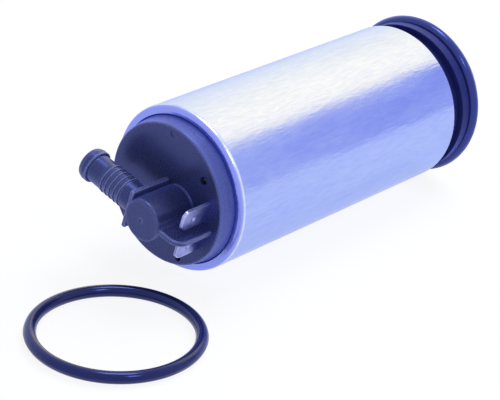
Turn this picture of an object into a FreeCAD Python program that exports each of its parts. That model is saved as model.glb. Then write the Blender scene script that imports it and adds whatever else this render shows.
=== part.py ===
import FreeCAD, Part
import math
import os

# An in-tank electric fuel pump, lying on its side beside its spare sealing ring. A rolled steel can holds
# a moulded outlet cover with an elbow and a hose barb, a two-pole motor with face brushes, a regenerative
# turbine stage and a moulded inlet cover with a rubber ring. Millimetres, +Z up. The origin is on the axis
# of the can, midway between its ends, and X runs from the outlet to the inlet.
#
# Every pump piece is drawn with the barb along +Y and is then rolled by lie_angle about X, because the pump
# lies rolled like that on the bench. Outlines are lists of corners (along, across, corner size), where a
# size over 0 is the radius of a rounded corner and one under 0 is the leg of a chamfer.

# The can
can_diameter = 38.0
can_wall = 0.9
can_length = 75.4
roll_radius = 1.25
roll_overhang = 0.55
lip_width = 2.05
far_edge_round = 0.35
lie_angle = 14.5

# Fits
slide_gap = 0.05
running_gap = 0.03
brush_gap = 0.10
face_gap = 0.02
loose_gap = 0.3
corner_gap = 0.15
small_chamfer = -0.3
fine_chamfer = -0.2
overshoot = 1.0
same_place = 1e-6

# The outlet cover
cap_height = 3.75
cap_gap = 0.1
cap_draft = 0.59
cap_edge_round = 0.6
cover_roof = 2.8
spigot_step = 0.85
spigot_length = 3.4
spigot_wall = 1.8
cup_floor_round = 1.0
seal_cord = 1.38
seal_groove_start = 0.95
seal_groove_play = 0.82
seal_groove_land = 0.3

# The elbow tower, its saddle plate and the hose barb
tower_y = -3.8
tower_z = -0.4
tower_radius = 4.8
tower_height = 11.2
tower_round = 0.6
tower_foot_round = 0.4
tower_bore_radius = 3.4
tower_end_wall = 1.4
saddle_thickness = 1.0
saddle_y = 0.0
saddle_top = 4.3
saddle_bottom = -5.2
saddle_round = 0.22
saddle_inset = 0.1
barb_back = 4.2
barb_z = -0.25
barb_radius = 3.3
barb_end_y = 16.8
barb_head_length = 2.5
barb_head_radius = 3.85
barb_head_land = 1.4
barb_nose_radius = 3.5
barb_nose_round = 0.5
barb_bore_radius = 2.1
ridge_count = 5
ridge_pitch = 1.3
ridge_start_y = 4.5
ridge_height = 0.22
ridge_round = 0.08

# The wall between the terminals, the vent, the drain recess and the marks of the mould
divider_low = -0.9
divider_high = 0.3
divider_inset = 1.56
divider_height = 10.6
divider_round = 3.0
divider_edge_round = 0.25
vent_angle = 131.6
vent_inset = 3.37
vent_radius = 1.0
drain_angle = -123.5
drain_inset = 1.76
drain_radius = 0.8
drain_depth = 1.5
gate_mark_radius = 0.45
ejector_angle = 80.0
ejector_inset = 1.4
ejector_mark_radius = 0.7
mark_depth = 0.12

# The blade terminals
blade_width = 4.75
blade_thickness = 0.8
blade_inset = 4.06
blade_height = 7.9
blade_short_by = 0.9
upper_blade_z = 3.65
lower_blade_z = -4.35
blade_chamfer = 0.9
blade_corner = -0.15
blade_coining = 0.15
dimple_radius = 0.65
dimple_depth = 0.3
dimple_back = 3.2
tab_width = 3.0
tab_depth = 4.7

# The check valve in the tower
check_seat_length = 3.2
check_seat_boss = 1.8
check_seat_hole_radius = 1.9
check_boss_wall = 1.5
check_head_radius = 2.7
check_head_thickness = 1.0
check_fin_length = 3.6
check_fin_width = 0.9
check_fin_root_radius = 2.35
check_fin_count = 3
check_fin_turn = 60.0
check_spring_radius = 1.7
check_spring_wire = 0.45
check_spring_turns = 6

# The relief valve behind the vent
relief_bore_radius = 1.75
relief_boss_radius = 3.0
relief_boss_length = 5.7
relief_shoulder = 1.4
relief_ball_radius = 1.5
relief_seat_length = 1.5
relief_seat_hole_radius = 1.0
relief_spring_radius = 1.15
relief_spring_wire = 0.3
relief_spring_turns = 4

# The brush holder and the brushes
holder_thickness = 3.0
holder_hub_radius = 4.1
holder_hub_height = 3.5
bush_radius = 3.2
bush_length = 5.0
bush_end_wall = 1.0
brush_z = 7.0
brush_width = 5.0
brush_depth = 4.0
brush_length = 8.0
brush_reach = 3.5
guide_wall = 0.8
guide_nose = 1.0
guide_end_wall = 0.6
guide_gap = 0.18
guide_corner = -0.4
window_inner_radius = 7.0
window_rim = 0.6
window_half_angle = 38.0
brush_spring_radius = 1.3
brush_spring_wire = 0.4
brush_spring_turns = 4
lead_radius = 0.45
lead_bend = 1.5
lead_standoff = 0.35
wire_sides = 6

# The armature
shaft_radius = 2.0
shaft_end_play = 1.0
shaft_chamfer = -0.3
air_gap = 0.5
core_length = 26.0
slot_count = 8
slot_depth = 6.8
tooth_width = 2.6
tooth_tip = 1.1
slot_mouth = 1.6
insulator_thickness = 0.8
insulator_inset = 0.1
winding_end_height = 3.4
winding_end_inset = 0.8
winding_end_width = 4.8
winding_end_chamfer = -1.2
winding_gap = 0.15
winding_room = 0.3
commutator_radius = 9.5
commutator_thickness = 3.4
commutator_hub_radius = 4.2
commutator_hub_length = 2.0
commutator_hub_gap = 0.4
commutator_hub_overlap = 0.5
commutator_slot_width = 0.5
commutator_slot_depth = 1.0
commutator_bar_inner_radius = 3.0

# The stator
flux_ring_wall = 1.5
magnet_thickness = 4.0
magnet_overhang = 3.0
magnet_angle = 130.0
clip_thickness = 0.5
clip_leg_inset = 0.9
clip_gap = 0.25

# The turbine stage
pump_body_thickness = 7.0
body_hub_clearance = 0.9
body_hub_gap = 0.7
body_recess_depth = 3.0
body_rim_width = 2.6
chamber_wall = 3.35
impeller_thickness = 3.4
impeller_side_gap = 0.05
impeller_tip_gap = 0.3
vane_count = 30
vane_height = 2.6
vane_thickness = 0.6
impeller_web = 0.5
web_inset = 0.4
channel_inset = 1.5
channel_section = 1.4
channel_angle = 300.0
port_radius = 1.4
port_turn = 8.0
drive_flat = 1.4

# The inlet cover, its neck and the sealing rings
inlet_flange_step = 0.6
inlet_flange_thickness = 0.65
inlet_groove_depth = 1.5
inlet_groove_width = 3.1
inlet_band = 2.95
inlet_band_chamfer = -0.35
ring_cord = 2.78
ring_seat_depth = 1.6
ring_groove_play = 0.22
ring_stretch = 0.66
end_flange_step = 1.1
end_flange_length = 1.4
end_flange_round = 0.5
end_wall = 2.4
end_recess_draft = 0.4
end_floor_thickness = 5.0
neck_gap = 1.2
neck_radius = 4.5
neck_bore_radius = 3.2
neck_projection = 4.2
neck_chamfer = -0.5
end_rib_count = 5
end_rib_thickness = 1.2
end_rib_drop = 3.5
end_rib_start = -45.0
end_rib_pitch = 60.0
end_boss_radius = 4.0
strainer_pin_radius = 1.2
strainer_pin_height = 3.0
thrust_radius = 2.5
thrust_thickness = 1.8

# The spare sealing ring beside the pump
spare_ring_beyond = 16.7
spare_ring_y = -13.6

# Radii, worked out from the can inwards
can_radius = can_diameter / 2
can_bore = can_radius - can_wall
fit_radius = can_bore - slide_gap
lip_radius = can_radius - lip_width
cap_root_radius = lip_radius - cap_gap
cap_edge_radius = cap_root_radius - cap_draft
spigot_radius = fit_radius - spigot_step
cover_cup_radius = spigot_radius - spigot_wall
window_outer_radius = cover_cup_radius - window_rim
flux_ring_bore = fit_radius - flux_ring_wall
magnet_outer_radius = flux_ring_bore - slide_gap
magnet_inner_radius = magnet_outer_radius - magnet_thickness
core_radius = magnet_inner_radius - air_gap
insulator_radius = core_radius - insulator_inset
winding_end_radius = core_radius - winding_end_inset
winding_end_inner_radius = winding_end_radius - winding_end_width
slot_floor_radius = core_radius - slot_depth
body_hub_radius = winding_end_inner_radius - body_hub_clearance
chamber_bore = fit_radius - chamber_wall
impeller_radius = chamber_bore - impeller_tip_gap
vane_root_radius = impeller_radius - vane_height
channel_radius = impeller_radius - channel_inset
inlet_flange_radius = can_radius - inlet_flange_step
inlet_groove_radius = inlet_flange_radius - inlet_groove_depth
ring_seat_radius = inlet_flange_radius - ring_seat_depth
seated_ring_radius = ring_seat_radius + ring_cord / 2 + face_gap
spare_ring_radius = seated_ring_radius - ring_stretch
end_flange_radius = can_radius - end_flange_step
end_recess_radius = end_flange_radius - end_wall
neck_offset = end_recess_radius - end_recess_draft - neck_gap - neck_radius

# Places on the cap, worked out from its edge
blade_y = blade_inset - cap_edge_radius
divider_reach = cap_edge_radius - divider_inset
vent_y = (cap_edge_radius - vent_inset) * math.cos(math.radians(vent_angle))
vent_z = (cap_edge_radius - vent_inset) * math.sin(math.radians(vent_angle))
drain_y = (cap_edge_radius - drain_inset) * math.cos(math.radians(drain_angle))
drain_z = (cap_edge_radius - drain_inset) * math.sin(math.radians(drain_angle))
ejector_y = (cap_edge_radius - ejector_inset) * math.cos(math.radians(ejector_angle))
ejector_z = (cap_edge_radius - ejector_inset) * math.sin(math.radians(ejector_angle))

# Stations along the axis, worked out from the outlet end
near_fold = -can_length / 2
lip_face = near_fold - roll_overhang
lip_back = lip_face + can_wall
cap_face = lip_face - cap_height
roof_inside = cap_face + cover_roof
tower_face = cap_face - tower_height
tower_roof = tower_face + tower_end_wall
barb_x = tower_face + barb_back
seal_groove_width = seal_cord + seal_groove_play
seal_groove_face = lip_back + seal_groove_start
flange_end = seal_groove_face + seal_groove_width + seal_groove_land
spigot_end = flange_end + spigot_length
holder_end = spigot_end + holder_thickness
commutator_face = holder_end + brush_reach
brush_back = commutator_face - face_gap - brush_length
guide_start = roof_inside + check_seat_boss + guide_gap
commutator_end = commutator_face + commutator_thickness + commutator_hub_length
winding_start = commutator_end + commutator_hub_gap
core_start = winding_start + winding_end_height + insulator_thickness
core_end = core_start + core_length
magnet_start = core_start - magnet_overhang
magnet_end = core_end + magnet_overhang
flux_ring_end = core_end + insulator_thickness + winding_end_height + winding_room
body_hub_front = core_end + insulator_thickness + body_hub_gap
lower_bush_start = body_hub_front + bush_end_wall
chamber_start = flux_ring_end + pump_body_thickness
chamber_floor = chamber_start + impeller_thickness + 2 * impeller_side_gap
end_floor = chamber_floor + end_floor_thickness
holder_hub_front = spigot_end - holder_hub_height
shaft_front = holder_hub_front + shaft_end_play
shaft_end = chamber_floor + slide_gap

# Stations of the inlet end, worked out from the far end of the can
far_end = can_length / 2
inlet_butt = far_end + slide_gap
inlet_flange_end = inlet_butt + inlet_flange_thickness
band_start = inlet_flange_end + inlet_groove_width
band_end = band_start + inlet_band
ring_groove_end = band_end + ring_cord + ring_groove_play
inlet_end = ring_groove_end + end_flange_length
seated_ring_x = (band_end + ring_groove_end) / 2
floor_level = -(seated_ring_radius + ring_cord / 2)
spare_ring_x = tower_face - spare_ring_beyond

X = FreeCAD.Vector(1, 0, 0)
Y = FreeCAD.Vector(0, 1, 0)
Z = FreeCAD.Vector(0, 0, 1)


def point(x, y, z):
    return FreeCAD.Vector(x, y, z)


def rounded_outline(corners, place):
    """A closed wire through the corners (u, v, size), each rounded or chamfered."""
    spots = [place(u, v) for u, v, size in corners]
    entries = []
    for number, (u, v, size) in enumerate(corners):
        here = spots[number]
        before = (spots[number - 1] - here).normalize()
        after = (spots[(number + 1) % len(spots)] - here).normalize()
        half = before.getAngle(after) / 2
        reach = size / math.tan(half) if size > 0 else -size
        start = here + before * reach
        end = here + after * reach
        toward = (before + after).normalize() if size > 0 else None
        middle = here + toward * (size / math.sin(half) - size) if size > 0 else None
        entries.append((start, middle, end))
    edges = []
    for number, (start, middle, end) in enumerate(entries):
        if middle is not None:
            edges.append(Part.Arc(start, middle, end).toShape())
        elif (end - start).Length > same_place:
            edges.append(Part.LineSegment(start, end).toShape())
        following = entries[(number + 1) % len(entries)][0]
        if (following - end).Length > same_place:
            edges.append(Part.LineSegment(end, following).toShape())
    return Part.Wire(edges)


def turned(corners, angle=360):
    """A solid turned about the X axis from an outline of (x, radius, corner radius)."""
    face = Part.Face(rounded_outline(corners, lambda u, v: point(u, v, 0)))
    return face.revolve(point(0, 0, 0), X, angle)


def prism(corners, start, end):
    """A solid extruded along X from an outline of (y, z, corner radius)."""
    face = Part.Face(rounded_outline(corners, lambda u, v: point(start, u, v)))
    return face.extrude(X * (end - start))


def rod(radius, start, end, y=0.0, z=0.0):
    return Part.makeCylinder(radius, end - start, point(start, y, z), X)


def tube(inner, outer, start, end, y=0.0, z=0.0):
    return rod(outer, start, end, y, z).cut(rod(inner, start - overshoot, end + overshoot, y, z))


def block(low, high):
    size = [b - a for a, b in zip(low, high)]
    return Part.makeBox(*size, point(*low))


def about_axis(shape, angle):
    turned_copy = shape.copy()
    turned_copy.rotate(point(0, 0, 0), X, angle)
    return turned_copy


def fused(shapes):
    return shapes[0].fuse(shapes[1:]).removeSplitter()


def biarc(start, start_way, end, end_way):
    """Two arcs that meet smoothly, from start along start_way to end along end_way."""
    gap = end - start
    ways = start_way + end_way
    spread = 2 * (1 - start_way.dot(end_way))
    along = gap.dot(ways)
    reach = (-along + math.sqrt(along * along + spread * gap.dot(gap))) / spread
    first_corner = start + start_way * reach
    last_corner = end - end_way * reach
    joint = (first_corner + last_corner) * 0.5
    return [corner_arc(start, first_corner, joint), corner_arc(joint, last_corner, end)]


def corner_arc(start, corner, end):
    """The arc from start to end whose tangents meet at corner."""
    middle = (start + end) * 0.5
    half_chord = (end - start).Length / 2
    height = (corner - middle).Length
    rise = half_chord * math.tan(math.atan2(height, half_chord) / 2)
    return Part.Arc(start, middle + (corner - middle).normalize() * rise, end).toShape()


def coil(name, radius, wire, turns, start, end, y, z):
    """A compression spring about an axis along X, between start and end, as one pipe along a helix."""
    first = start + wire / 2 + face_gap
    last = end - wire / 2 - face_gap
    rise = (last - first) / turns

    def at(quarters):
        angle = math.pi / 2 * quarters
        return point(first + rise * quarters / 4, y + radius * math.cos(angle), z + radius * math.sin(angle))

    def way(quarters):
        angle = math.pi / 2 * quarters
        pitch = rise / (2 * math.pi)
        return point(pitch, -radius * math.sin(angle), radius * math.cos(angle)).normalize()

    edges = []
    for quarter in range(4 * turns):
        edges += biarc(at(quarter), way(quarter), at(quarter + 1), way(quarter + 1))
    section = wire_section(wire / 2, at(0), way(0))
    print(name, "gap between turns", round(rise - wire, 2))
    return Part.Wire(edges).makePipeShell([section], True, False)


def wire_section(radius, middle, way):
    """The many-sided section of a hidden spring or braid, square to the way that it runs."""
    side = way.cross(X if abs(way.x) < 0.9 else Y).normalize()
    up = way.cross(side)
    corners = []
    for number in range(wire_sides + 1):
        angle = 2 * math.pi * number / wire_sides
        corners.append(middle + side * (radius * math.cos(angle)) + up * (radius * math.sin(angle)))
    return Part.makePolygon(corners)


def torus(radius, cord, x, y, z, axis):
    return Part.makeTorus(radius, cord / 2, point(x, y, z), axis)


def make_can():
    fold = near_fold + roll_radius - roll_overhang
    outer_round = roll_radius
    inner_round = roll_radius - can_wall
    return turned([
        (lip_face, lip_radius, fine_chamfer),
        (lip_face, can_radius, outer_round),
        (far_end, can_radius, far_edge_round),
        (far_end, can_bore, 0),
        (fold - inner_round, can_bore, inner_round),
        (lip_back, lip_radius, 0),
    ])


def cover_body():
    groove_end = seal_groove_face + seal_groove_width
    groove_floor = can_bore - seal_cord - 2 * face_gap
    chamfer = roll_radius - can_wall + corner_gap
    return turned([
        (cap_face, 0, 0),
        (cap_face, cap_edge_radius, cap_edge_round),
        (lip_face, cap_root_radius, 0),
        (lip_back, cap_root_radius, 0),
        (lip_back, fit_radius - chamfer, 0),
        (lip_back + chamfer, fit_radius, 0),
        (seal_groove_face, fit_radius, 0),
        (seal_groove_face, groove_floor, 0),
        (groove_end, groove_floor, 0),
        (groove_end, fit_radius, 0),
        (flange_end, fit_radius, 0),
        (flange_end, spigot_radius, 0),
        (spigot_end, spigot_radius, small_chamfer),
        (spigot_end, cover_cup_radius, small_chamfer),
        (roof_inside, cover_cup_radius, cup_floor_round),
        (roof_inside, 0, 0),
    ])


def elbow_tower():
    foot_radius = tower_radius + 2 * tower_foot_round
    tower = turned([
        (tower_face, 0, 0),
        (tower_face, tower_radius, tower_round),
        (cap_face, tower_radius, tower_foot_round),
        (cap_face, foot_radius, 0),
        (cap_face + overshoot, foot_radius, 0),
        (cap_face + overshoot, 0, 0),
    ])
    tower.translate(point(0, tower_y, tower_z))
    saddle = block(
        (tower_face + saddle_inset, saddle_y, saddle_bottom),
        (cap_face + saddle_round, saddle_y + saddle_thickness, saddle_top),
    )
    return [tower, saddle.makeFillet(saddle_round, saddle.Edges)]


def hose_barb():
    """The barb drawn as a turned piece along X, then stood up along +Y at its place on the tower."""
    head_start = barb_end_y - barb_head_length
    root_y = tower_y + overshoot
    corners = [(root_y, 0, 0), (root_y, barb_radius, 0)]
    for ridge in range(ridge_count):
        shoulder = ridge_start_y + ridge * ridge_pitch
        corners.append((shoulder, barb_radius, 0))
        corners.append((shoulder, barb_radius + ridge_height, ridge_round))
    corners.append((ridge_start_y + ridge_count * ridge_pitch, barb_radius, 0))
    corners += [
        (head_start, barb_radius, 0),
        (head_start, barb_head_radius, fine_chamfer),
        (head_start + barb_head_land, barb_head_radius, 0),
        (barb_end_y, barb_nose_radius, barb_nose_round),
        (barb_end_y, 0, 0),
    ]
    barb = turned(corners)
    barb.rotate(point(0, 0, 0), Z, 90)
    barb.translate(point(barb_x, 0, barb_z))
    return barb


def divider_wall():
    """The upright wall between the blades, with its free outer corner and its edges rounded."""
    front = cap_face - divider_height
    root_y = tower_y - tower_radius + overshoot
    outline = rounded_outline([
        (cap_face + overshoot, root_y, 0),
        (cap_face + overshoot, -divider_reach, 0),
        (front, -divider_reach, divider_round),
        (front, root_y, 0),
    ], lambda u, v: point(u, v, divider_low))
    wall = Part.Face(outline).extrude(Z * (divider_high - divider_low))
    free_edges = []
    for edge in wall.Edges:
        box = edge.BoundBox
        if box.ZLength < same_place and box.XMin < cap_face - same_place and box.YMin < root_y - same_place:
            free_edges.append(edge)
    return wall.makeFillet(divider_edge_round, free_edges)


def make_outlet_cover():
    boss_end = roof_inside + check_seat_boss
    check_boss_radius = tower_bore_radius + check_boss_wall
    relief_end = roof_inside + relief_boss_length
    bodies = [cover_body(), hose_barb(), divider_wall()] + elbow_tower()
    barb_bore_length = barb_end_y - tower_y + overshoot
    bodies.append(rod(check_boss_radius, roof_inside - overshoot, boss_end, tower_y, tower_z))
    bodies.append(rod(relief_boss_radius, roof_inside - overshoot, relief_end, vent_y, vent_z))
    cuts = [
        rod(tower_bore_radius, tower_roof, boss_end + overshoot, tower_y, tower_z),
        Part.makeCylinder(barb_bore_radius, barb_bore_length, point(barb_x, tower_y, barb_z), Y),
        rod(vent_radius, cap_face - overshoot, relief_end, vent_y, vent_z),
        rod(relief_bore_radius, cap_face + relief_shoulder, relief_end + overshoot, vent_y, vent_z),
        rod(drain_radius, cap_face - overshoot, cap_face + drain_depth, drain_y, drain_z),
        rod(ejector_mark_radius, cap_face - overshoot, cap_face + mark_depth, ejector_y, ejector_z),
        rod(gate_mark_radius, tower_face - overshoot, tower_face + mark_depth, tower_y, tower_z),
        blade(upper_blade_z, 0),
        blade(lower_blade_z, blade_short_by),
    ]
    return fused(bodies).cut(cuts)


def blade(z, short_by):
    """A flat terminal: a chamfered blade outside the cover and a narrower tab inside it."""
    tip = cap_face - blade_height + short_by
    tab_end = cap_face + tab_depth
    half = blade_width / 2
    half_tab = tab_width / 2
    shoulder = cap_face + cover_roof / 2
    outline = rounded_outline([
        (tip + blade_chamfer, z - half, blade_corner),
        (tip, z - half + blade_chamfer, blade_corner),
        (tip, z + half - blade_chamfer, blade_corner),
        (tip + blade_chamfer, z + half, blade_corner),
        (shoulder, z + half, 0),
        (shoulder, z + half_tab, 0),
        (tab_end, z + half_tab, 0),
        (tab_end, z - half_tab, 0),
        (shoulder, z - half_tab, 0),
        (shoulder, z - half, 0),
    ], lambda u, v: point(u, blade_y, v))
    return Part.Face(outline).extrude(Y * blade_thickness)


def make_terminal(z, short_by):
    """A blade with coined edges at its tip and a round dimple for the catch of the plug."""
    tip = cap_face - blade_height + short_by
    terminal = blade(z, short_by)
    coined_end = tip + blade_chamfer - blade_corner + same_place
    coined_edges = []
    for edge in terminal.Edges:
        if edge.BoundBox.YLength < same_place and edge.BoundBox.XMax < coined_end:
            coined_edges.append(edge)
    ball_radius = (dimple_radius ** 2 + dimple_depth ** 2) / (2 * dimple_depth)
    ball_place = point(tip + dimple_back, blade_y + dimple_depth - ball_radius, z)
    terminal = terminal.makeChamfer(blade_coining, coined_edges)
    return terminal.cut(Part.makeSphere(ball_radius, ball_place))


def make_cover_seal():
    middle = seal_groove_face + seal_groove_width / 2
    return torus(can_bore - seal_cord / 2 - face_gap, seal_cord, middle, 0, 0, X)


def make_check_seat():
    start = roof_inside + check_seat_boss - check_seat_length
    return tube(check_seat_hole_radius, tower_bore_radius, start, start + check_seat_length,
                tower_y, tower_z)


def make_check_valve():
    """A poppet whose fins slide in the bore of the tower, resting on its seat."""
    seat_face = roof_inside + check_seat_boss - check_seat_length
    back = seat_face - face_gap
    head = rod(check_head_radius, back - check_head_thickness, back)
    fin_tip = tower_bore_radius - brush_gap
    bodies = [head]
    for number in range(check_fin_count):
        fin = block((back - check_fin_length, check_fin_root_radius, -check_fin_width / 2),
                    (back, fin_tip, check_fin_width / 2))
        bodies.append(about_axis(fin, number * 360 / check_fin_count + check_fin_turn))
    valve = fused(bodies)
    valve.translate(point(0, tower_y, tower_z))
    return valve


def make_check_spring():
    head_front = roof_inside + check_seat_boss - check_seat_length - face_gap - check_head_thickness
    return coil("check_spring", check_spring_radius, check_spring_wire, check_spring_turns,
                tower_roof, head_front, tower_y, tower_z)


def relief_ball_centre():
    seat_face = roof_inside + relief_boss_length - relief_seat_length
    drop = math.sqrt((relief_ball_radius + face_gap) ** 2 - relief_seat_hole_radius ** 2)
    return seat_face - drop


def make_relief_seat():
    end = roof_inside + relief_boss_length
    return tube(relief_seat_hole_radius, relief_bore_radius, end - relief_seat_length, end, vent_y, vent_z)


def make_relief_ball():
    return Part.makeSphere(relief_ball_radius, point(relief_ball_centre(), vent_y, vent_z))


def make_relief_spring():
    shoulder = cap_face + relief_shoulder
    reach = relief_ball_radius + relief_spring_wire / 2
    rest = relief_ball_centre() - math.sqrt(reach ** 2 - relief_spring_radius ** 2) + relief_spring_wire / 2
    return coil("relief_spring", relief_spring_radius, relief_spring_wire, relief_spring_turns,
                shoulder, rest, vent_y, vent_z)


def make_brush_holder():
    """A plate across the can with the bush hub, two brush guides and two fuel windows."""
    nose = holder_end + guide_nose
    outer_width = brush_width / 2 + brush_gap + guide_wall
    outer_depth = brush_depth / 2 + brush_gap + guide_wall
    inner_width = brush_width / 2 + brush_gap
    inner_depth = brush_depth / 2 + brush_gap
    plate = turned([
        (spigot_end, 0, 0),
        (spigot_end, fit_radius, small_chamfer),
        (holder_end, fit_radius, small_chamfer),
        (holder_end, 0, 0),
    ])
    solids = [plate, rod(holder_hub_radius, holder_hub_front, holder_end)]
    cuts = [
        rod(bush_radius, holder_hub_front - overshoot, holder_hub_front + bush_length),
        rod(shaft_radius + loose_gap, holder_hub_front - overshoot, nose + overshoot),
    ]
    for side in (1, -1):
        middle = side * brush_z
        solids.append(prism([
            (-outer_width, middle - outer_depth, guide_corner),
            (outer_width, middle - outer_depth, guide_corner),
            (outer_width, middle + outer_depth, guide_corner),
            (-outer_width, middle + outer_depth, guide_corner),
        ], guide_start, nose))
        cuts.append(block((guide_start + guide_end_wall, -inner_width, middle - inner_depth),
                          (nose + overshoot, inner_width, middle + inner_depth)))
        cuts.append(rod(lead_radius + loose_gap, guide_start - overshoot, brush_back, 0, middle))
        window = turned([
            (spigot_end - overshoot, window_inner_radius, 0),
            (spigot_end - overshoot, window_outer_radius, 0),
            (holder_end + overshoot, window_outer_radius, 0),
            (holder_end + overshoot, window_inner_radius, 0),
        ], 2 * window_half_angle)
        cuts.append(about_axis(window, -window_half_angle + (0 if side > 0 else 180)))
    return fused(solids).cut(cuts)


def make_bush(start):
    return tube(shaft_radius + running_gap, bush_radius, start, start + bush_length)


def make_brush(side):
    middle = side * brush_z
    return block((brush_back, -brush_width / 2, middle - brush_depth / 2),
                 (brush_back + brush_length, brush_width / 2, middle + brush_depth / 2))


def make_brush_spring(name, side):
    return coil(name, brush_spring_radius, brush_spring_wire, brush_spring_turns,
                guide_start + guide_end_wall, brush_back, 0, side * brush_z)


def make_brush_lead(side):
    """The braid from the back of the brush, out of the guide and across to the terminal's tab."""
    blade_z = upper_blade_z if side > 0 else lower_blade_z
    turn_x = roof_inside + lead_standoff + lead_radius
    start = point(brush_back - face_gap, 0, side * brush_z)
    corner = point(turn_x, 0, side * brush_z)
    tab_face = point(turn_x, blade_y + blade_thickness + face_gap, blade_z)
    across = (tab_face - corner).normalize()
    end = tab_face + across * (lead_radius * abs(across.z) / across.y)
    bend_start = corner + X * lead_bend
    bend_end = corner + across * lead_bend
    path = Part.Wire([
        Part.LineSegment(start, bend_start).toShape(),
        corner_arc(bend_start, corner, bend_end),
        Part.LineSegment(bend_end, end).toShape(),
    ])
    return path.makePipeShell([wire_section(lead_radius, start, X)], True, False)


def tooth_profile(tip_radius):
    """The outline of the slotted core: a hub, teeth with parallel sides and overhanging tips."""
    step = 2 * math.pi / slot_count
    half_tooth = tooth_width / 2
    under_tip = tip_radius - tooth_tip
    tip_half = step / 2 - slot_mouth / 2 / tip_radius
    edges = []
    spots = []
    for number in range(slot_count):
        turn = number * step
        root_half = math.asin(half_tooth / slot_floor_radius)
        neck_half = math.asin(half_tooth / under_tip)
        for radius, offset in ((slot_floor_radius, -root_half), (under_tip, -neck_half),
                               (under_tip, -tip_half), (tip_radius, -tip_half),
                               (tip_radius, tip_half), (under_tip, tip_half),
                               (under_tip, neck_half), (slot_floor_radius, root_half)):
            spots.append((radius, turn + offset))
    for number, (radius, angle) in enumerate(spots):
        next_radius, next_angle = spots[(number + 1) % len(spots)]
        if number == len(spots) - 1:
            next_angle += 2 * math.pi
        start = point(0, radius * math.cos(angle), radius * math.sin(angle))
        end = point(0, next_radius * math.cos(next_angle), next_radius * math.sin(next_angle))
        if abs(radius - next_radius) > same_place:
            edges.append(Part.LineSegment(start, end).toShape())
            continue
        middle_angle = (angle + next_angle) / 2
        middle = point(0, radius * math.cos(middle_angle), radius * math.sin(middle_angle))
        edges.append(Part.Arc(start, middle, end).toShape())
    return Part.Face(Part.Wire(edges))


def star(start, end, tip_radius):
    face = tooth_profile(tip_radius)
    face.translate(X * start)
    return face.extrude(X * (end - start)).cut(rod(shaft_radius, start - overshoot, end + overshoot))


def make_windings():
    """Copper that fills the slots, with a rounded bundle over each end of the core."""
    front = core_start - insulator_thickness
    back = core_end + insulator_thickness
    fill_outer = core_radius - tooth_tip - winding_gap
    fill_inner = slot_floor_radius + winding_gap
    filling = tube(fill_inner, fill_outer, front, back)
    for number in range(slot_count):
        tooth = block((front - overshoot, 0, -tooth_width / 2 - winding_gap),
                      (back + overshoot, core_radius, tooth_width / 2 + winding_gap))
        filling = filling.cut(about_axis(tooth, number * 360 / slot_count))
    bundles = []
    for start, end in ((winding_start, front), (back, back + winding_end_height)):
        outside = start if end == front else end
        inside = end if end == front else start
        bundles.append(turned([
            (inside, winding_end_inner_radius, 0),
            (outside, winding_end_inner_radius, winding_end_chamfer),
            (outside, winding_end_radius, winding_end_chamfer),
            (inside, winding_end_radius, 0),
        ]))
    return fused([filling] + bundles)


def make_commutator():
    """A disc of copper bars divided by radial slots, on a moulded hub."""
    back = commutator_face + commutator_thickness
    hub_end = back + commutator_hub_length
    solids = [rod(commutator_radius, commutator_face, back),
              rod(commutator_hub_radius, back - commutator_hub_overlap, hub_end)]
    body = fused(solids).cut(rod(shaft_radius, commutator_face - overshoot, hub_end + overshoot))
    cuts = []
    slot_floor = commutator_face + commutator_slot_depth
    for number in range(slot_count):
        slot = block((commutator_face - overshoot, commutator_bar_inner_radius, -commutator_slot_width / 2),
                     (slot_floor, commutator_radius + overshoot, commutator_slot_width / 2))
        cuts.append(about_axis(slot, (number + 0.5) * 360 / slot_count))
    return body.cut(cuts)


def make_shaft():
    """A ground shaft with chamfered ends and a flat that drives the impeller."""
    shaft = turned([
        (shaft_front, 0, 0),
        (shaft_front, shaft_radius, shaft_chamfer),
        (shaft_end, shaft_radius, shaft_chamfer),
        (shaft_end, 0, 0),
    ])
    return shaft.cut(drive_flat_block())


def drive_flat_block():
    reach = shaft_radius + overshoot
    return block((chamber_start, -reach, drive_flat), (shaft_end + overshoot, reach, reach))


def make_magnet(side):
    magnet = turned([
        (magnet_start, magnet_inner_radius, 0),
        (magnet_start, magnet_outer_radius, small_chamfer),
        (magnet_end, magnet_outer_radius, small_chamfer),
        (magnet_end, magnet_inner_radius, 0),
    ], magnet_angle)
    return about_axis(magnet, -magnet_angle / 2 + (0 if side > 0 else 180))


def make_magnet_clips():
    """Two sprung channels that push the magnets apart against the flux ring, as one group."""
    outer = magnet_outer_radius - slide_gap
    leg_inner = magnet_inner_radius + clip_leg_inset
    half = (180 - magnet_angle) / 2 - math.degrees(clip_gap / outer)
    leg_angle = math.degrees(clip_thickness / outer)
    clips = []
    for turn in (90, 270):
        pieces = [about_axis(turned([
            (magnet_start, outer - clip_thickness, 0),
            (magnet_start, outer, 0),
            (magnet_end, outer, 0),
            (magnet_end, outer - clip_thickness, 0),
        ], 2 * half), turn - half)]
        for leg_start in (turn - half, turn + half - leg_angle):
            pieces.append(about_axis(turned([
                (magnet_start, leg_inner, 0),
                (magnet_start, outer, 0),
                (magnet_end, outer, 0),
                (magnet_end, leg_inner, 0),
            ], leg_angle), leg_start))
        clips.append(fused(pieces))
    return Part.makeCompound(clips)


def side_channel(face_x):
    """The fuel channel beside the impeller vanes: a round groove over most of a turn."""
    section = Part.Wire(Part.makeCircle(channel_section, point(face_x, channel_radius, 0), Z))
    groove = Part.Face(section).revolve(point(0, 0, 0), X, channel_angle)
    return about_axis(groove, 90 + (360 - channel_angle) / 2)


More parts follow.
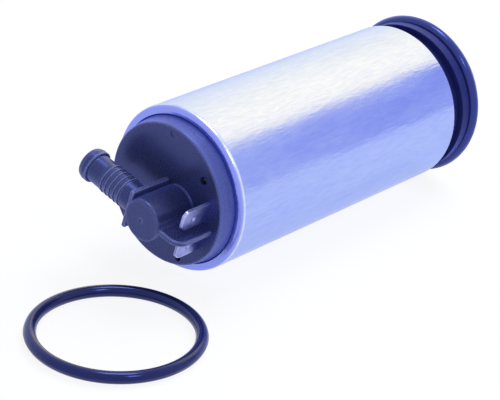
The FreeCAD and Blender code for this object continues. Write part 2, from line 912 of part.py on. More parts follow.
def make_pump_body():
    """The plate between motor and impeller, with the lower bush, a recess, the channel and its port."""
    recess_end = flux_ring_end + body_recess_depth
    plate = rod(fit_radius, flux_ring_end, chamber_start)
    recess = tube(body_hub_radius, fit_radius - body_rim_width, flux_ring_end - overshoot, recess_end)
    hub = rod(body_hub_radius, body_hub_front, flux_ring_end + overshoot)
    port = rod(port_radius, flux_ring_end - overshoot, chamber_start + overshoot, channel_radius, 0)
    cuts = [
        recess,
        rod(bush_radius, body_hub_front - overshoot, lower_bush_start + bush_length),
        rod(shaft_radius + loose_gap, body_hub_front - overshoot, chamber_start + overshoot),
        side_channel(chamber_start),
        about_axis(port, 90 - (360 - channel_angle) / 2 - port_turn),
    ]
    return fused([plate, hub]).cut(cuts)


def make_impeller():
    """The turbine wheel: a disc with open radial vanes on both sides of a thin web."""
    start = chamber_start + impeller_side_gap
    end = start + impeller_thickness
    middle = (start + end) / 2
    solids = [rod(vane_root_radius, start, end),
              rod(impeller_radius - web_inset, middle - impeller_web / 2, middle + impeller_web / 2)]
    for number in range(vane_count):
        vane = block((start, vane_root_radius - overshoot, -vane_thickness / 2),
                     (end, impeller_radius, vane_thickness / 2))
        solids.append(about_axis(vane, number * 360 / vane_count))
    bore = rod(shaft_radius, start - overshoot, end + overshoot).cut(drive_flat_block())
    return fused(solids).cut(bore)


def make_inlet_cover():
    """The inlet moulding: the impeller chamber inside the can, and the band, ring groove and neck outside."""
    neck_end = inlet_end + neck_projection
    pin_end = inlet_end + strainer_pin_height
    body = turned([
        (chamber_start, 0, 0),
        (chamber_start, fit_radius, 0),
        (inlet_butt, fit_radius, 0),
        (inlet_butt, inlet_flange_radius, 0),
        (inlet_flange_end, inlet_flange_radius, fine_chamfer),
        (inlet_flange_end, inlet_groove_radius, 0),
        (band_start, inlet_groove_radius, 0),
        (band_start, inlet_flange_radius, fine_chamfer),
        (band_end, inlet_flange_radius, inlet_band_chamfer),
        (band_end, ring_seat_radius, 0),
        (ring_groove_end, ring_seat_radius, 0),
        (ring_groove_end, end_flange_radius, fine_chamfer),
        (inlet_end, end_flange_radius, end_flange_round),
        (inlet_end, end_recess_radius, small_chamfer),
        (end_floor, end_recess_radius - end_recess_draft, 0),
        (end_floor, 0, 0),
    ])
    solids = [body]
    for number in range(end_rib_count):
        rib = block((end_floor - overshoot, 0, -end_rib_thickness / 2),
                    (inlet_end - end_rib_drop, end_recess_radius + overshoot, end_rib_thickness / 2))
        solids.append(about_axis(rib, end_rib_start + number * end_rib_pitch))
    solids.append(rod(end_boss_radius, end_floor - overshoot, inlet_end - end_rib_drop))
    neck = turned([
        (end_floor - overshoot, 0, 0),
        (end_floor - overshoot, neck_radius, 0),
        (neck_end, neck_radius, neck_chamfer),
        (neck_end, 0, 0),
    ])
    neck.translate(point(0, 0, -neck_offset))
    solids.append(neck)
    solids.append(rod(strainer_pin_radius, end_floor - overshoot, pin_end, 0, neck_offset))
    cuts = [
        rod(chamber_bore, chamber_start - overshoot, chamber_floor),
        rod(neck_bore_radius, chamber_start, neck_end + overshoot, 0, -neck_offset),
        rod(thrust_radius, chamber_floor - overshoot, chamber_floor + slide_gap + thrust_thickness),
        side_channel(chamber_floor),
    ]
    return fused(solids).cut(cuts)


def make_thrust_button():
    start = shaft_end + face_gap
    return rod(thrust_radius, start, chamber_floor + slide_gap + thrust_thickness)


pieces = {
    "can": make_can(),
    "outlet_cover": make_outlet_cover(),
    "cover_seal": make_cover_seal(),
    "terminal_upper": make_terminal(upper_blade_z, 0),
    "terminal_lower": make_terminal(lower_blade_z, blade_short_by),
    "check_seat": make_check_seat(),
    "check_valve": make_check_valve(),
    "check_spring": make_check_spring(),
    "relief_seat": make_relief_seat(),
    "relief_ball": make_relief_ball(),
    "relief_spring": make_relief_spring(),
    "brush_holder": make_brush_holder(),
    "upper_bush": make_bush(holder_hub_front),
    "lower_bush": make_bush(lower_bush_start),
    "shaft": make_shaft(),
    "armature_core": star(core_start, core_end, core_radius),
    "front_insulator": star(core_start - insulator_thickness, core_start, insulator_radius),
    "rear_insulator": star(core_end, core_end + insulator_thickness, insulator_radius),
    "windings": make_windings(),
    "commutator": make_commutator(),
    "flux_ring": tube(flux_ring_bore, fit_radius, holder_end, flux_ring_end),
    "magnet_clips": make_magnet_clips(),
    "pump_body": make_pump_body(),
    "impeller": make_impeller(),
    "inlet_cover": make_inlet_cover(),
    "thrust_button": make_thrust_button(),
    "inlet_ring": torus(seated_ring_radius, ring_cord, seated_ring_x, 0, 0, X),
}
for number, side in enumerate((1, -1), 1):
    pieces["brush_%d" % number] = make_brush(side)
    pieces["brush_spring_%d" % number] = make_brush_spring("brush_spring_%d" % number, side)
    pieces["brush_lead_%d" % number] = make_brush_lead(side)
    pieces["magnet_%d" % number] = make_magnet(side)

pieces = {name: about_axis(shape, lie_angle) for name, shape in pieces.items()}
pieces["spare_ring"] = torus(spare_ring_radius, ring_cord, spare_ring_x, spare_ring_y,
                             floor_level + ring_cord / 2, Z)

os.makedirs("parts", exist_ok=True)
for name, shape in pieces.items():
    shape.exportStep("parts/%s.step" % name)
    print(name, "solids", len(shape.Solids), "valid", shape.isValid(), "volume", round(shape.Volume, 1))
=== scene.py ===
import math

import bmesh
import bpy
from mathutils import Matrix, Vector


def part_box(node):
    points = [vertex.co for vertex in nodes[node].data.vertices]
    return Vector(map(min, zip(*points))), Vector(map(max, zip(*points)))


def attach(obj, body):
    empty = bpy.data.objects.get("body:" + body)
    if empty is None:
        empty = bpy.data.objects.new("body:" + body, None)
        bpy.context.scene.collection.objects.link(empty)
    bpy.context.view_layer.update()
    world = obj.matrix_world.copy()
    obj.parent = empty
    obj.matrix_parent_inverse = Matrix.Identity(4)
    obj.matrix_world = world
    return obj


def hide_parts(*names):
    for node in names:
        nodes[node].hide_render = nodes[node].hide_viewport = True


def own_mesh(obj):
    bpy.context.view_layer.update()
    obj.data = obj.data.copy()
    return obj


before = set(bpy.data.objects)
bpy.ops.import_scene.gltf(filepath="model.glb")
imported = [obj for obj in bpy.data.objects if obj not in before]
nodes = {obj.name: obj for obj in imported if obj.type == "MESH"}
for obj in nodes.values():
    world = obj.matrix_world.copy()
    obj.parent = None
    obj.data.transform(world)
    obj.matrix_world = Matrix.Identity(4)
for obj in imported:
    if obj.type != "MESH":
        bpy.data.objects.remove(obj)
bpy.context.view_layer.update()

# %% [markdown]
# # An in-tank fuel pump, dressed for its picture
# The pump is a steel can with a moulded outlet cover at one end and a moulded inlet cover with a
# rubber ring at the other. A spare ring lies beside it. The construction model comes in as a fixed
# frame. This lesson gives it a camera, light and finishes, and models again the pieces that
# deserve finer detail.

scene = bpy.context.scene
scene.view_settings.view_transform = "Standard"
MM = 0.001

# %% [markdown]
# ## Camera
# The photograph looks down on the outlet end from the front left, from about half a metre away
# with a long lens. A camera could be aimed with a Track To constraint, but its slight roll would
# be lost, so its three axes are worked out from the turn, the downward tilt and the roll, all in
# radians, and written into its matrix.

# %% Camera
CAMERA_PLACE = Vector((-328.92, -263.36, 190.94)) * MM
CAMERA_TURN = 0.8754
CAMERA_TILT = 0.4558
CAMERA_ROLL = -0.0793
CAMERA_LENS = 143.92
NEAREST_SEEN = 10 * MM

ahead = Vector((math.cos(CAMERA_TILT) * math.sin(CAMERA_TURN),
                math.cos(CAMERA_TILT) * math.cos(CAMERA_TURN),
                -math.sin(CAMERA_TILT)))
level = Vector((math.cos(CAMERA_TURN), -math.sin(CAMERA_TURN), 0))
below = ahead.cross(level)
right = level * math.cos(CAMERA_ROLL) + below * math.sin(CAMERA_ROLL)
up = level * math.sin(CAMERA_ROLL) - below * math.cos(CAMERA_ROLL)
axes = Matrix((right, up, -ahead)).transposed()

camera_data = bpy.data.cameras.new("camera")
camera_data.lens = CAMERA_LENS
camera_data.clip_start = NEAREST_SEEN
camera = bpy.data.objects.new("camera", camera_data)
scene.collection.objects.link(camera)
camera.matrix_world = Matrix.Translation(CAMERA_PLACE) @ axes.to_4x4()
scene.camera = camera
print("camera looks along", [round(c, 3) for c in ahead])

# %% [markdown]
# ## Small helpers for node trees
# A finish is a tree of nodes. Written out in full, each node takes four or five lines. So one
# helper adds any node and fills its inputs. The kinds that come up again and again get a helper
# of their own where they are first needed: a sum, a change of range, a mix of two colours and a
# noise. Each gives back the socket with its result, which can go straight into the next one.

# %% Node helpers
def linear(red, green, blue):
    """A screen colour with channels of 0 to 255, as the linear colour that shaders use."""
    channels = [channel / 255 for channel in (red, green, blue)]
    return [c / 12.92 if c <= 0.04045 else ((c + 0.055) / 1.055) ** 2.4 for c in channels] + [1.0]


def fill(tree, socket, value):
    """Links a socket to this input, or sets anything else on it."""
    if isinstance(value, bpy.types.NodeSocket):
        tree.links.new(value, socket)
    else:
        socket.default_value = value


def add_node(tree, kind, settings=None, **given):
    """A new node, with its settings, and with what is given filled into the inputs of that name."""
    node = tree.nodes.new("ShaderNode" + kind)
    for name, value in (settings or {}).items():
        setattr(node, name, value)
    for name, value in given.items():
        fill(tree, node.inputs[name.replace("_", " ")], value)
    return node


print("node helpers are ready")

# %% [markdown]
# ## Floor, backdrop and light
# The picture is a cut-out on white. The floor is white card. Towards the camera and in
# reflections part of its light is a glow of its own, so that it comes out white and still takes a
# faint shadow. The world is white to the camera and in reflections, and a plain soft light to
# everything else. Both are two shaders that the Light Path node picks from.

# %% Two shaders in one
WHITE = (1, 1, 1, 1)


def work_out(tree, operation, *values):
    """The result of a Math node."""
    node = add_node(tree, "Math", {"operation": operation})
    for socket, value in zip(node.inputs, values):
        fill(tree, socket, value)
    return node.outputs[0]


def by_ray(tree, falling, seen):
    """One shader for the light that falls on things, the other for camera, mirrors and glass."""
    path = add_node(tree, "LightPath")
    mirrored = work_out(tree, "MAXIMUM", path.outputs["Is Glossy Ray"],
                        path.outputs["Is Transmission Ray"])
    directly = work_out(tree, "MAXIMUM", path.outputs["Is Camera Ray"], mirrored)
    mixed = add_node(tree, "MixShader", Fac=directly)
    fill(tree, mixed.inputs[1], falling.outputs[0])
    fill(tree, mixed.inputs[2], seen.outputs[0])
    return mixed.outputs[0]


print("shaders can be picked by ray")

# %% Floor
FLOOR_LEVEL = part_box("spare_ring")[0][2]
FLOOR_SIZE = 6.0
FLOOR_GLOW = 0.89
CARD_TONE = linear(228, 229, 232)
SHADOW_TONE = linear(104, 105, 110)

bpy.ops.object.select_all(action="DESELECT")
bpy.ops.mesh.primitive_plane_add(size=FLOOR_SIZE, location=(0, 0, FLOOR_LEVEL))
floor = bpy.context.object
floor.name = "floor"

card = bpy.data.materials.new("white_card")
card.use_nodes = True
tree = card.node_tree
tree.nodes.clear()
paper = add_node(tree, "BsdfDiffuse", Color=CARD_TONE)
shadow_part = add_node(tree, "BsdfDiffuse", Color=SHADOW_TONE)
glow = add_node(tree, "Emission", Color=WHITE, Strength=FLOOR_GLOW)
shown = add_node(tree, "AddShader")
fill(tree, shown.inputs[0], shadow_part.outputs[0])
fill(tree, shown.inputs[1], glow.outputs[0])
add_node(tree, "OutputMaterial", Surface=by_ray(tree, paper, shown))
floor.data.materials.append(card)
print("floor at", round(FLOOR_LEVEL / MM, 2), "mm")

# %% World
AMBIENT = 0.28
AMBIENT_TONE = (0.86, 0.9, 1, 1)

world = bpy.data.worlds.new("studio")
scene.world = world
world.use_nodes = True
tree = world.node_tree
tree.nodes.clear()
soft = add_node(tree, "Background", Color=AMBIENT_TONE, Strength=AMBIENT)
white = add_node(tree, "Background", Color=WHITE, Strength=1.0)
add_node(tree, "OutputWorld", Surface=by_ray(tree, soft, white))
print("world light", AMBIENT)

# %% [markdown]
# Two kinds of light are kept apart here. Softboxes give the light that falls on things, and one
# more lamp overhead only puts glints on the rings and the edges. What the shiny can shows is
# another matter: it mirrors a tent of paper behind the pump, lit from above. The bands along the
# can say how bright that tent is from top to bottom, so one round sheet, square to the can's axis,
# carries that as a ramp of colours round the axis. It is there for reflections alone.

# %% Softboxes
LAMP_BLUE = (0.86, 0.91, 1.0)


def softbox(name, place, side, brightness, colour=(1, 1, 1), mirrored=False, lighting=True):
    """A square lamp that faces the pump, as bright as its face would show in a mirror."""
    data = bpy.data.lights.new(name, "AREA")
    data.shape = "RECTANGLE"
    data.size = side
    data.size_y = side
    data.energy = brightness * math.pi * side * side
    data.color = colour
    lamp = bpy.data.objects.new(name, data)
    scene.collection.objects.link(lamp)
    lamp.location = place
    lamp.rotation_euler = (-Vector(place)).to_track_quat("-Z", "Y").to_euler()
    lamp.visible_glossy = mirrored
    lamp.visible_diffuse = lighting
    print(name, "at", [round(c, 2) for c in place], "brightness", brightness)


softbox("top_softbox", (0.55, 0.10, 0.70), side=0.70, brightness=5.0, colour=LAMP_BLUE)
softbox("front_softbox", (-0.25, -0.58, 0.64), side=0.16, brightness=11.0, mirrored=True)
softbox("overhead_glint", (0.05, 0.05, 0.90), side=0.30, brightness=9.0, colour=LAMP_BLUE,
        mirrored=True, lighting=False)

# %% The sheet of the paper tent
# In metres: how far behind the middle of the pump the sheet stands, and its radius.
TENT_PLACE = 0.5
TENT_RADIUS = 0.75
TENT_POINTS = 64

bpy.ops.object.select_all(action="DESELECT")
bpy.ops.mesh.primitive_circle_add(vertices=TENT_POINTS, radius=TENT_RADIUS, fill_type="NGON",
                                  location=(TENT_PLACE, 0, 0), rotation=(0, math.radians(90), 0))
tent = bpy.context.object
tent.name = "paper_tent"
bpy.ops.object.transform_apply(location=True, rotation=True, scale=True)
for ray in ("camera", "diffuse", "shadow", "transmission", "volume_scatter"):
    setattr(tent, "visible_" + ray, False)
print("the tent's sheet is", 2 * TENT_RADIUS, "m across")

# %% Ranges, distances and mixed colours
# A Mix node has inputs for numbers, vectors and colours side by side, all with the same names,
# so the factor, the two colours and the mixed colour are found by their places.
MIX_FACTOR = 0
MIX_FIRST = 6
MIX_SECOND = 7
MIX_RESULT = 2


def spread(tree, value, low, high, to_low=0.0, to_high=1.0):
    """The result of a Map Range node: low comes out as to_low, and high as to_high."""
    node = add_node(tree, "MapRange", Value=value, From_Min=low, From_Max=high,
                    To_Min=to_low, To_Max=to_high)
    return node.outputs[0]


def mix(tree, part, first, second):
    """The first colour where part is 0, and the second where it is 1."""
    node = add_node(tree, "Mix", {"data_type": "RGBA"})
    fill(tree, node.inputs[MIX_FACTOR], part)
    fill(tree, node.inputs[MIX_FIRST], first)
    fill(tree, node.inputs[MIX_SECOND], second)
    return node.outputs[MIX_RESULT]


def from_axis(tree, spot):
    """How far a point is from the axis of the can, which is the X axis."""
    outward = add_node(tree, "CombineXYZ", Y=spot.outputs["Y"], Z=spot.outputs["Z"]).outputs[0]
    return add_node(tree, "VectorMath", {"operation": "LENGTH"}, Vector=outward).outputs["Value"]


print("ranges and colours can be worked out")

# %% The tones of the paper tent
# A ramp's colours stay near 1 at most, so the tones go in divided by this glow, and the sheet's
# strength brings them back up.
TENT_GLOW = 2.3
# Degrees round the axis of the can, from straight up and positive to the front, and the glow.
TENT_RAMP = [
    (-105, (1.30, 1.30, 1.00)), (-84, (1.52, 1.44, 0.99)), (-67, (1.84, 1.64, 1.00)),
    (-47, (2.06, 1.76, 0.99)), (-30, (2.28, 1.92, 1.00)), (-12, (2.44, 2.00, 1.02)),
    (22, (2.42, 1.98, 1.01)), (33, (0.76, 0.77, 0.97)),
]
TENT_WHITE = (1.0, 1.0, 1.0)
# The front of the tent gets darker, and reaches lower, towards its middle.
TENT_FRONT_DARK = (0.50, 0.54, 0.90)
TENT_FRONT_START = math.radians(24)
TENT_FRONT_FULL = math.radians(33)
TENT_RIM_REACH = 0.585
TENT_MIDDLE_REACH = 0.405
TENT_RIM_HEM = math.radians(98)
TENT_MIDDLE_HEM = math.radians(124)
TENT_HEM_SOFTNESS = math.radians(5)
# Its very middle, which only the outlet barb mirrors, is plain and cool.
TENT_PLAIN = (0.70, 0.80, 1.10)
TENT_PLAIN_START = 0.27
TENT_PLAIN_END = 0.34


def tent_tone(glow):
    """A tone of the tent as its ramp holds it."""
    return [channel / TENT_GLOW for channel in glow] + [1.0]


print("the tent glows in", len(TENT_RAMP), "tones round the axis")

# %% The glow of the paper tent
paper_glow = bpy.data.materials.new("paper_glow")
paper_glow.use_nodes = True
tree = paper_glow.node_tree
tree.nodes.clear()
spot = add_node(tree, "SeparateXYZ", Vector=add_node(tree, "TexCoord").outputs["Object"])
to_front = work_out(tree, "MULTIPLY", spot.outputs["Y"], -1.0)
turn = work_out(tree, "ARCTAN2", to_front, spot.outputs["Z"])
ramp = add_node(tree, "ValToRGB", Fac=spread(tree, turn, -math.pi, math.pi))
stops = ramp.color_ramp.elements
for degrees, glow in TENT_RAMP:
    stop = stops.new(degrees / 360 + 0.5)
    stop.color = tent_tone(glow)
stops[0].color = tent_tone(TENT_WHITE)
stops[-1].color = stops[-2].color
across = from_axis(tree, spot)
inward = spread(tree, across, TENT_RIM_REACH, TENT_MIDDLE_REACH)
in_front = spread(tree, turn, TENT_FRONT_START, TENT_FRONT_FULL)
dark_part = work_out(tree, "MULTIPLY", inward, in_front)
tone = mix(tree, dark_part, ramp.outputs[0], tent_tone(TENT_FRONT_DARK))
hem = spread(tree, inward, 0.0, 1.0, TENT_RIM_HEM, TENT_MIDDLE_HEM)
past_hem = work_out(tree, "SUBTRACT", turn, hem)
below_hem = spread(tree, past_hem, -TENT_HEM_SOFTNESS, TENT_HEM_SOFTNESS)
tone = mix(tree, below_hem, tone, tent_tone(TENT_WHITE))
in_middle = spread(tree, across, TENT_PLAIN_END, TENT_PLAIN_START)
tone = mix(tree, in_middle, tone, tent_tone(TENT_PLAIN))
shown = add_node(tree, "Emission", Color=tone, Strength=TENT_GLOW)
add_node(tree, "OutputMaterial", Surface=shown.outputs[0])
tent.data.materials.append(paper_glow)
print("the ramp has", len(stops), "stops")

# %% [markdown]
# ## Finishes
# Each finish is built from noise in the object's own coordinates. Moulded plastic has a faint
# uneven shade and a fine grain, and rubber has a smoother skin that shines. Laminated steel and
# wound wire show fine lines. Lines are noise whose coordinates are multiplied along one axis or
# two: it then changes fast that way and slowly along the rest.

# %% Parts of a finish
def noise(tree, place, scale, detail=3.0, roughness=0.6, distortion=0.0):
    """The grey of a Noise Texture node."""
    node = add_node(tree, "TexNoise", Vector=place, Scale=scale, Detail=detail,
                    Roughness=roughness, Distortion=distortion)
    return node.outputs[0]


def new_finish(name):
    """A material with a tree of its own, the tree, and its Object coordinates."""
    material = bpy.data.materials.new(name)
    material.use_nodes = True
    tree = material.node_tree
    return material, tree, add_node(tree, "TexCoord").outputs["Object"]


def shade_with(tree, values):
    """Fills inputs of the finish's own shader."""
    shader = tree.nodes["Principled BSDF"]
    for name, value in values.items():
        fill(tree, shader.inputs[name], value)


def wear(piece, material):
    """The piece keeps its mesh and gets this finish."""
    piece.data.materials.clear()
    piece.data.materials.append(material)


print("parts of a finish are ready")

# %% Finish families
COOL_GLOSS = (0.20, 0.28, 1.0, 1.0)
COOL_SHEEN = (0.20, 0.27, 1.0, 1.0)
# Most of a noise lies between these two greys.
NOISE_LOW = 0.3
NOISE_HIGH = 0.7
# Between these two, the clouds of a shade go all the way from one colour to the other.
CLOUD_LOW = 0.32
CLOUD_HIGH = 0.68


def finish(name, shade, other_shade, roughness, metallic=0.0, specular=0.5,
           gloss_tint=COOL_GLOSS, ior=1.5, sheen=0.0, patch=260.0, stretch=(1, 1, 1),
           grain=2400.0, grain_depth=0.02, roughness_play=0.08):
    """A finish that wanders between two shades, with a fine grain in its surface and its gloss."""
    material, tree, place = new_finish(name)
    place = add_node(tree, "Mapping", Vector=place, Scale=stretch).outputs[0]
    clouds = noise(tree, place, patch, detail=4.0, roughness=0.55)
    fine = noise(tree, place, grain)
    bump = add_node(tree, "Bump", Height=fine, Strength=grain_depth, Distance=MM)
    shade_with(tree, {
        "Base Color": mix(tree, spread(tree, clouds, CLOUD_LOW, CLOUD_HIGH), shade, other_shade),
        "Roughness": spread(tree, fine, NOISE_LOW, NOISE_HIGH,
                            roughness - roughness_play, roughness + roughness_play),
        "Normal": bump.outputs[0],
        "Metallic": metallic,
        "Specular IOR Level": specular,
        "Specular Tint": WHITE if metallic else gloss_tint,
        "IOR": ior,
        "Sheen Weight": sheen,
        "Sheen Tint": COOL_SHEEN,
    })
    return material


def blend_in(material, part, colour):
    """Mixes another colour over a finish, as much as the given part says."""
    tree = material.node_tree
    before = tree.nodes["Principled BSDF"].inputs["Base Color"].links[0].from_socket
    shade_with(tree, {"Base Color": mix(tree, part, before, colour)})


print("finish families are ready")

# %% Moulded plastics
DEEP_GLOSS = (0.04, 0.12, 1.0, 1.0)

cover_plastic = finish("cover_plastic", linear(44, 46, 68), linear(48, 50, 76), roughness=0.28,
                       specular=0.9, ior=1.7, sheen=1.0, grain_depth=0.01, roughness_play=0.05)
inlet_plastic = finish("inlet_plastic", linear(32, 36, 98), linear(36, 40, 108), roughness=0.3,
                       specular=0.1, gloss_tint=DEEP_GLOSS, ior=1.42, sheen=1.0,
                       grain_depth=0.01, roughness_play=0.05)
inner_plastic = finish("inner_plastic", linear(58, 58, 96), linear(70, 70, 110), roughness=0.45)
pale_plastic = finish("pale_plastic", linear(206, 204, 214), linear(224, 222, 230),
                      roughness=0.4)
print("plastics are ready")

# %% Rubber
ring_rubber = finish("ring_rubber", linear(26, 25, 70), linear(30, 29, 78), roughness=0.16,
                     specular=0.75, ior=1.6, sheen=0.35, patch=160.0, grain=900.0,
                     grain_depth=0.004, roughness_play=0.03)
# This ring's base is paler and bluer than the spare ring's. That is painted light, the light its
# top catches from above.
seated_rubber_painted_light = finish("seated_rubber_painted_light", linear(48, 53, 122), linear(54, 59, 132),
                          roughness=0.15, specular=1.0, ior=1.65, sheen=0.8, patch=160.0,
                          grain=900.0, grain_depth=0.004, roughness_play=0.03)
seal_rubber = finish("seal_rubber", linear(40, 34, 60), linear(52, 44, 70), roughness=0.45,
                     specular=0.3)
print("rubber is ready")

# %% [markdown]
# The skirt of the cover, behind the face, is painted paler and bluer. This is painted light, the
# brightness its top catches from the light above, broken by fine lines that run round it. Its outer
# edges get painted highlights too. Pointiness would find them on a dense mesh, but here the Bevel
# node does better: where its rounded normal leaves the true one, an edge is near. Ambient Occlusion
# then leaves out the inner corners, which stay dark.

# %% A mask for edges
EDGE_SAMPLES = 6
# The product of the two normals where a face still counts as flat, and where an edge is full.
FLAT_MATCH = 0.998
EDGE_MATCH = 0.94


def near_edges(tree, width):
    """1 on edges and 0 away from them: the rounded normal is set against the true one."""
    match = add_node(tree, "VectorMath", {"operation": "DOT_PRODUCT"})
    rounded = add_node(tree, "Bevel", {"samples": EDGE_SAMPLES}, Radius=width)
    fill(tree, match.inputs[0], rounded.outputs[0])
    fill(tree, match.inputs[1], add_node(tree, "NewGeometry").outputs["Normal"])
    return spread(tree, match.outputs["Value"], FLAT_MATCH, EDGE_MATCH)


print("edges are found with", EDGE_SAMPLES, "samples")

# %% The skirt and the edges of the cover
# The skirt fades in along X just behind the face, and lies outside a circle round the axis.
SKIRT_START = -42.0 * MM
SKIRT_FULL = -41.75 * MM
SKIRT_RADIUS = 15.8 * MM
# Painted light: the paler, bluer tone of the skirt, as its lit top shows it.
SKIRT_PAINTED_LIGHT_TONE = linear(98, 107, 184)
LIGHT_LINES_STRETCH = (1, 0.06, 0.06)
LIGHT_LINES_SCALE = 2600.0
LIGHT_LINES_FAINT = 0.6
LIGHT_LINES_STRONG = 1.2
# Painted edge highlights go only where edges stand proud of the face, or lie outside that circle.
EDGE_HIGHLIGHT_TONE = linear(160, 170, 230)
EDGE_WIDTH = 0.75 * MM
PROUD_OF_FACE = -42.3 * MM
# How far round a point is looked for walls, and how open it has to be for a painted edge highlight.
CORNER_REACH = 0.8 * MM
CORNER_SHUT = 0.7
CORNER_OPEN = 0.9

tree = cover_plastic.node_tree
place = add_node(tree, "TexCoord").outputs["Object"]
spot = add_node(tree, "SeparateXYZ", Vector=place)
outer = work_out(tree, "GREATER_THAN", from_axis(tree, spot), SKIRT_RADIUS)
skirt = spread(tree, spot.outputs["X"], SKIRT_START, SKIRT_FULL)
light_lines = add_node(tree, "Mapping", Vector=place, Scale=LIGHT_LINES_STRETCH).outputs[0]
light_lines = spread(tree, noise(tree, light_lines, LIGHT_LINES_SCALE), NOISE_LOW, NOISE_HIGH,
               LIGHT_LINES_FAINT, LIGHT_LINES_STRONG)
skirt = work_out(tree, "MULTIPLY", work_out(tree, "MULTIPLY", skirt, outer), light_lines)
# The skirt is painted paler here, as painted light.
blend_in(cover_plastic, skirt, SKIRT_PAINTED_LIGHT_TONE)
proud = work_out(tree, "LESS_THAN", spot.outputs["X"], PROUD_OF_FACE)
proud = work_out(tree, "MAXIMUM", proud, outer)
edges = work_out(tree, "MULTIPLY", near_edges(tree, EDGE_WIDTH), proud)
open_side = add_node(tree, "AmbientOcclusion", {"samples": EDGE_SAMPLES}, Distance=CORNER_REACH)
open_side = spread(tree, open_side.outputs["AO"], CORNER_SHUT, CORNER_OPEN)
# Painted highlights on the cover's edges, left out of the inner corners.
blend_in(cover_plastic, work_out(tree, "MULTIPLY", edges, open_side), EDGE_HIGHLIGHT_TONE)
print("the cover's finish has", len(tree.nodes), "nodes")

# %% [markdown]
# The can is drawn from tinned sheet. Close up, its skin is a short ragged grain that runs along
# the can, over slow waves that make the edges of the mirrored bands wander. The grain is noise
# whose coordinates are squeezed along X, which draws it out that way, and the waves are plain
# noise. Both work as bump, because on a mirror a slight tilt shows more than any change of
# colour. The rolled rim is darker, so its colour is mixed in by the distance along X, and a
# painted highlight runs along the crest of the roll.

# %% The skin of the can
CAN_TONE = linear(162, 178, 244)
CAN_PALE_TONE = linear(178, 193, 247)
CAN_GLANCE_TINT = (0.8, 0.85, 1.0, 1.0)
CAN_SMOOTH = 0.19
CAN_DULL = 0.29
DRAWN_OUT = (0.2, 1, 1)
STREAK_SCALE = 1500.0
STREAK_RAGGEDNESS = 0.4
STREAK_DEPTH = 0.045 * MM
BLOTCH_SCALE = 240.0
WAVE_SCALE = 75.0
WAVE_DEPTH = 0.18 * MM
# The tone follows the blotches and the streaks, nearly half and half.
BLOTCH_SHARE = 0.45
STREAK_SHARE = 0.55
TONE_LOW = 0.34
TONE_HIGH = 0.66

can_steel, tree, place = new_finish("can_steel")
drawn = add_node(tree, "Mapping", Vector=place, Scale=DRAWN_OUT).outputs[0]
streaks = noise(tree, drawn, STREAK_SCALE, distortion=STREAK_RAGGEDNESS)
blotches = noise(tree, drawn, BLOTCH_SCALE, roughness=0.55)
waves = noise(tree, place, WAVE_SCALE, detail=2.0, roughness=0.5)
grain_tone = work_out(tree, "ADD", work_out(tree, "MULTIPLY", blotches, BLOTCH_SHARE),
                      work_out(tree, "MULTIPLY", streaks, STREAK_SHARE))
can_tone = mix(tree, spread(tree, grain_tone, TONE_LOW, TONE_HIGH), CAN_TONE, CAN_PALE_TONE)
wavy = add_node(tree, "Bump", Height=waves, Strength=1.0, Distance=WAVE_DEPTH)
skin = add_node(tree, "Bump", Height=streaks, Strength=1.0, Distance=STREAK_DEPTH,
                Normal=wavy.outputs[0])
shade_with(tree, {
    "Roughness": spread(tree, blotches, NOISE_LOW, NOISE_HIGH, CAN_SMOOTH, CAN_DULL),
    "Normal": skin.outputs[0],
    "Metallic": 1.0,
    "Specular Tint": CAN_GLANCE_TINT,
})
print("the can's skin has", len(tree.nodes), "nodes")

# %% The rolled rim of the can
RIM_START = -37.2 * MM
RIM_DARK = -38.0 * MM
RIM_TONE = linear(140, 152, 238)
# Where the painted highlight along the crest of the roll lies, and its tone.
RIM_CREST = -37.35 * MM
RIM_CREST_WIDTH = 0.35 * MM
CREST_HIGHLIGHT_TONE = linear(226, 232, 250)
CREST_FAINT = 0.5
# Where the blotches are darker than the first grey the painted crest highlight is faint, and past
# the second full.
CREST_BREAKS = 0.35
CREST_UNBROKEN = 0.6

along = add_node(tree, "SeparateXYZ", Vector=place).outputs["X"]
can_tone = mix(tree, spread(tree, along, RIM_START, RIM_DARK), can_tone, RIM_TONE)
# A painted highlight runs along the crest of the roll, in a line that comes and goes.
from_crest = work_out(tree, "ABSOLUTE", work_out(tree, "SUBTRACT", along, RIM_CREST))
crest = spread(tree, from_crest, 0.0, RIM_CREST_WIDTH, 1.0, 0.0)
crest_play = spread(tree, blotches, CREST_BREAKS, CREST_UNBROKEN, CREST_FAINT, 1.0)
can_tone = mix(tree, work_out(tree, "MULTIPLY", crest, crest_play), can_tone, CREST_HIGHLIGHT_TONE)
shade_with(tree, {"Base Color": can_tone})
print("with its rim it has", len(tree.nodes), "nodes")

# %% [markdown]
# The blades are stamped from tinned brass, and painted highlights run along their edges, which
# the mask for edges finds again. The metals inside the pump could share one grey, but a cut or a
# lifted piece shows them side by side, so steel, bronze, copper, ferrite and carbon each get
# their own.

# %% Metals and the rest
BLADE_EDGE_WIDTH = 0.3 * MM
BLADE_EDGE_HIGHLIGHT_TONE = linear(206, 212, 246)
LAMINATED = (12, 1, 1)
WOUND = (1, 6, 6)

